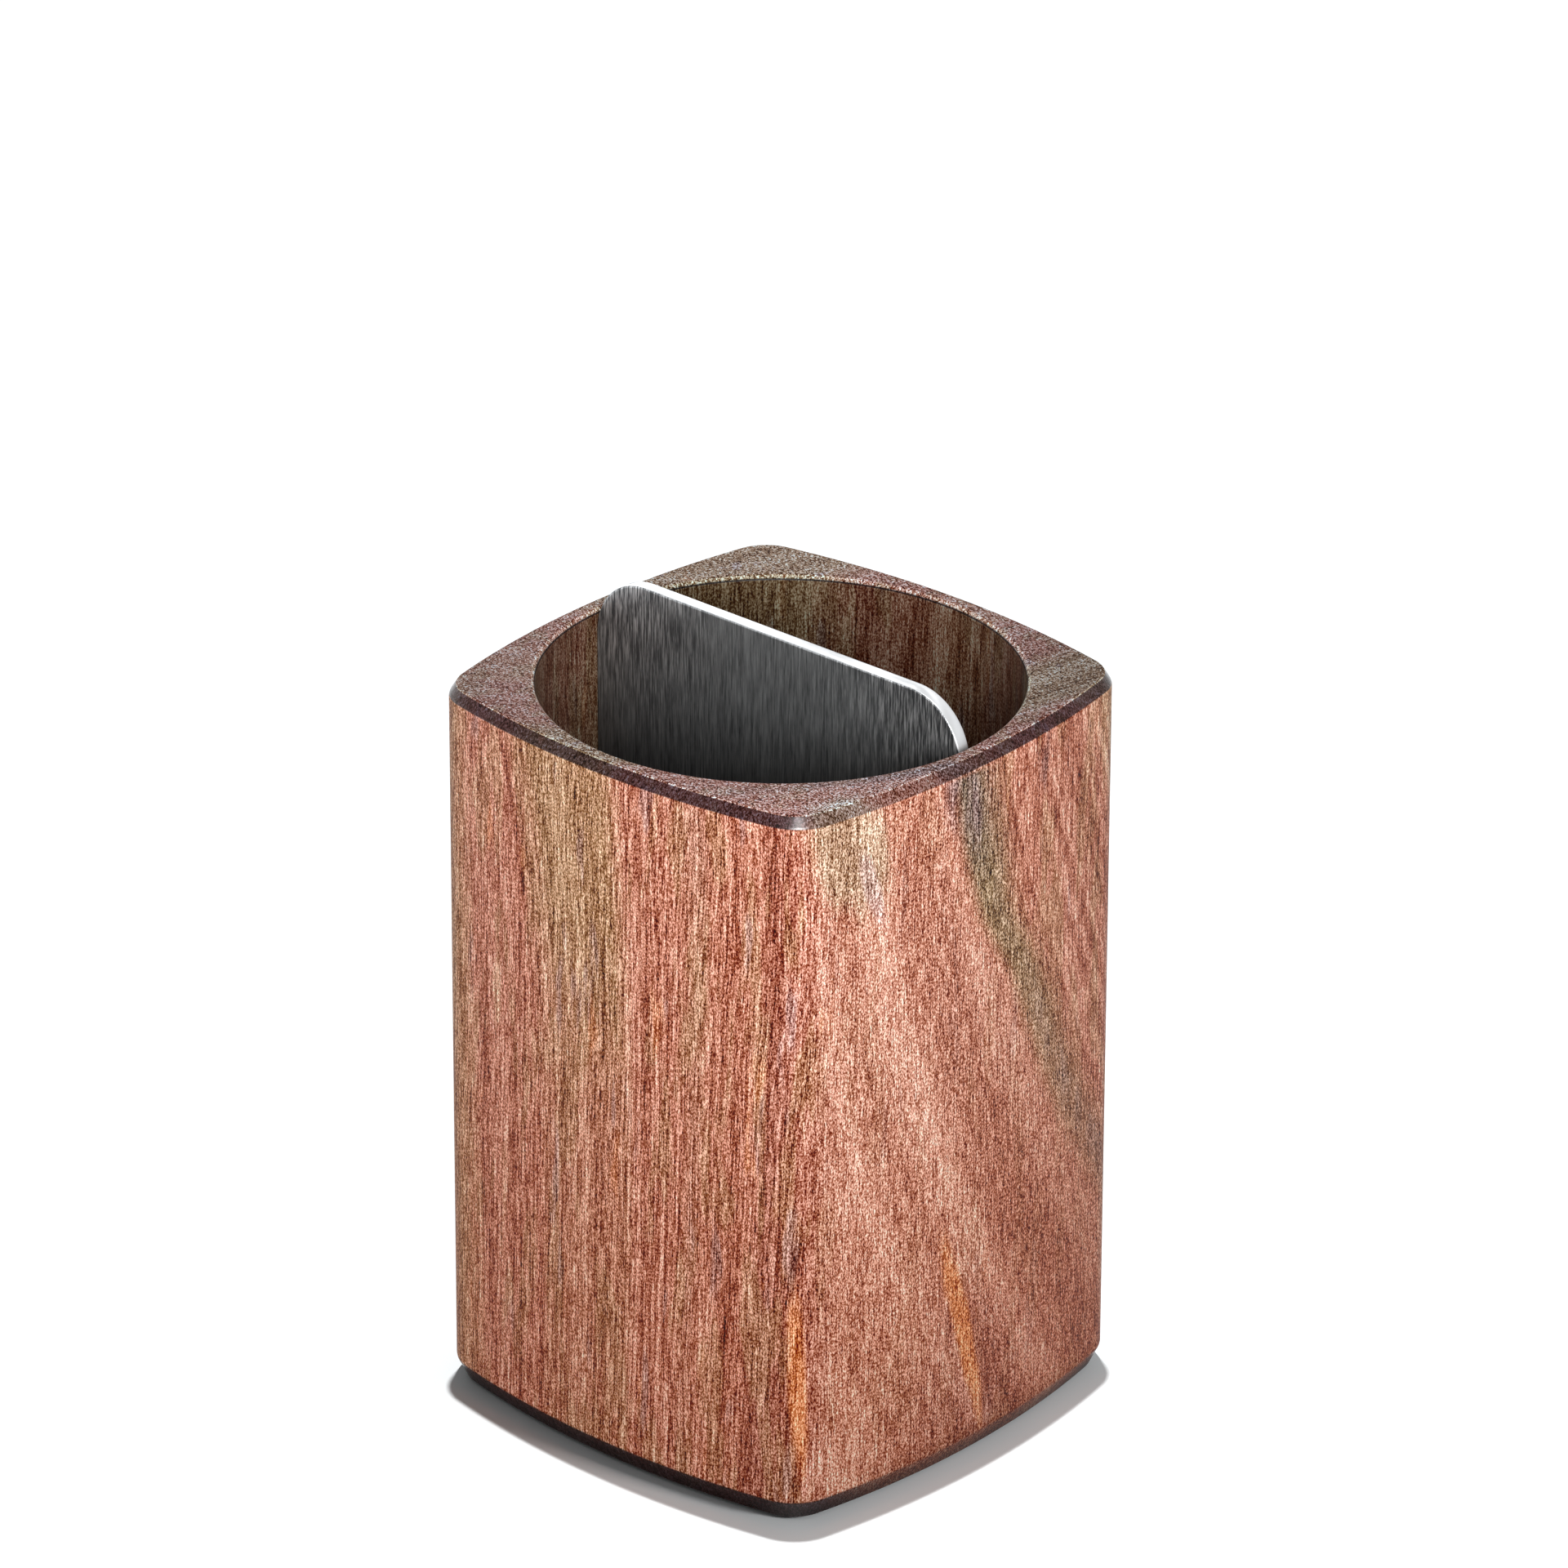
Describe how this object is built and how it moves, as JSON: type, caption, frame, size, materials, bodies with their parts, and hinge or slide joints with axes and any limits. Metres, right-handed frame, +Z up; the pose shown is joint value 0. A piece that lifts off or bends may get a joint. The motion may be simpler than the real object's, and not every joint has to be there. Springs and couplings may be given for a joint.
{
  "type": "pen cup",
  "caption": "Bowed square wooden pen cup with a round blind bore and a lift-out steel plate that divides the inside into compartments.",
  "frame": {"origin": "centre of the foot pad's underside, on the bore's axis", "axes": "+Z up along the bore's axis, +X along the width of the divider, +Y through the divider's face"},
  "size_m": [0.07, 0.07, 0.1073],
  "materials": {
    "walnut": "oiled satin",
    "brushed_steel": "brushed upright",
    "dark_rubber": "matt"
  },
  "bodies": {
    "cup": {"cup_body": "walnut", "foot_pad": "dark_rubber"},
    "divider": {"divider": "brushed_steel"}
  },
  "joints": [
    {"name": "divider_lift", "type": "slide", "parent": "cup", "child": "divider", "axis": [0, 0, 1], "range_m": [0, 0.089]}
  ]
}
